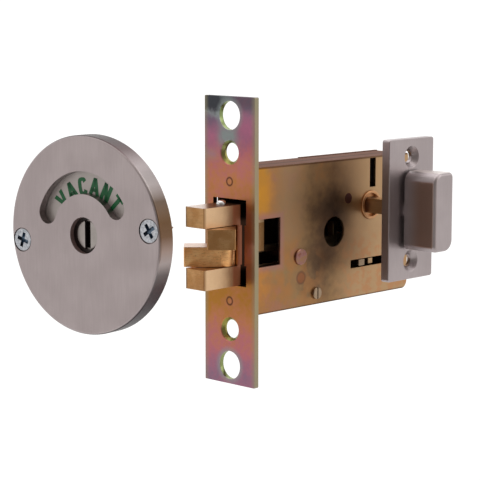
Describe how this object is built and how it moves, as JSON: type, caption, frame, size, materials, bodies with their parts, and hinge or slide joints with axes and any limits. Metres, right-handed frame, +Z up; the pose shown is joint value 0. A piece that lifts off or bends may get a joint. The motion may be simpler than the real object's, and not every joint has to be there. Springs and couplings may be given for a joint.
{
  "type": "toilet indicator bolt",
  "caption": "Mortice claw bolt for a sliding toilet door, thrown by a turn knob on a plate, with a separate round vacant and engaged indicator plate.",
  "frame": {"origin": "middle of the forend's front face, midway between its screw holes", "axes": "+X into the door and the lock, away from the forend's face; -Y towards the turn knob's side; +Z up"},
  "size_m": [0.1385, 0.1086, 0.104],
  "materials": {
    "passivated_forend": "steel, rainbow zinc passivate",
    "passivated_case": "steel, golden brown zinc passivate",
    "brass": "sawn and lightly polished brass",
    "satin_nickel": "satin nickel plate",
    "bright_steel": "bright turned steel",
    "spring_steel": "oiled spring steel",
    "zinc_screw": "bright zinc plate",
    "brassed_spindle": "steel, brown zinc passivate",
    "dial_face": "light satin lacquer with printed words"
  },
  "bodies": {
    "lock": {"forend": "passivated_forend", "forend_rivets": "passivated_case", "case_tray": "passivated_case", "case_cover": "passivated_case", "guide_post": "passivated_case", "flush_rivet": "passivated_case", "stop_post": "passivated_case", "cover_pillar": "passivated_case", "cover_screw": "zinc_screw", "leaf_spring": "spring_steel", "snib_plate": "satin_nickel", "indicator_plate": "satin_nickel", "indicator_screws": "zinc_screw", "indicator_back": "bright_steel", "dial_washer": "spring_steel"},
    "bolt": {"bolt_head": "brass", "bolt_tail": "passivated_case", "tail_rivets": "bright_steel", "tail_stud": "bright_steel", "claw_pin": "bright_steel", "claw_spring": "spring_steel"},
    "near_claw_arm": {"near_claw": "brass"},
    "far_claw_arm": {"far_claw": "brass"},
    "turn": {"follower": "passivated_case", "drive_pin": "bright_steel", "spindle": "brassed_spindle", "snib_knob": "satin_nickel", "knob_circlip": "spring_steel", "knob_grub_screw": "bright_steel"},
    "dial": {"indicator_dial": "dial_face", "coin_turn": "bright_steel", "dial_circlip": "spring_steel"}
  },
  "joints": [
    {"name": "snib_turn", "type": "hinge", "parent": "lock", "child": "turn", "pos_m": [0.0686, 0, 0.0081], "axis": [0, -1, 0], "range_deg": [0, 90]},
    {"name": "bolt_slide", "type": "slide", "parent": "lock", "child": "bolt", "axis": [1, 0, 0], "range_m": [0, 0.0175]},
    {"name": "near_claw_swing", "type": "hinge", "parent": "bolt", "child": "near_claw_arm", "pos_m": [-0.0041, 0, 0], "axis": [0, 0, 1], "range_deg": [-45, 0]},
    {"name": "far_claw_swing", "type": "hinge", "parent": "bolt", "child": "far_claw_arm", "pos_m": [-0.0041, 0, 0], "axis": [0, 0, 1], "range_deg": [0, 45]},
    {"name": "indicator_turn", "type": "hinge", "parent": "lock", "child": "dial", "pos_m": [-0.03953, 0.02976, 0.0036], "axis": [-0.9934, -0.1149, 0], "range_deg": [-180, 0]}
  ],
  "couplings": [
    {"joint": "snib_turn", "follows": "bolt_slide", "rad_per_m": 89.76},
    {"joint": "near_claw_swing", "follows": "bolt_slide", "rad_per_m": -44.88},
    {"joint": "far_claw_swing", "follows": "bolt_slide", "rad_per_m": 44.88}
  ]
}
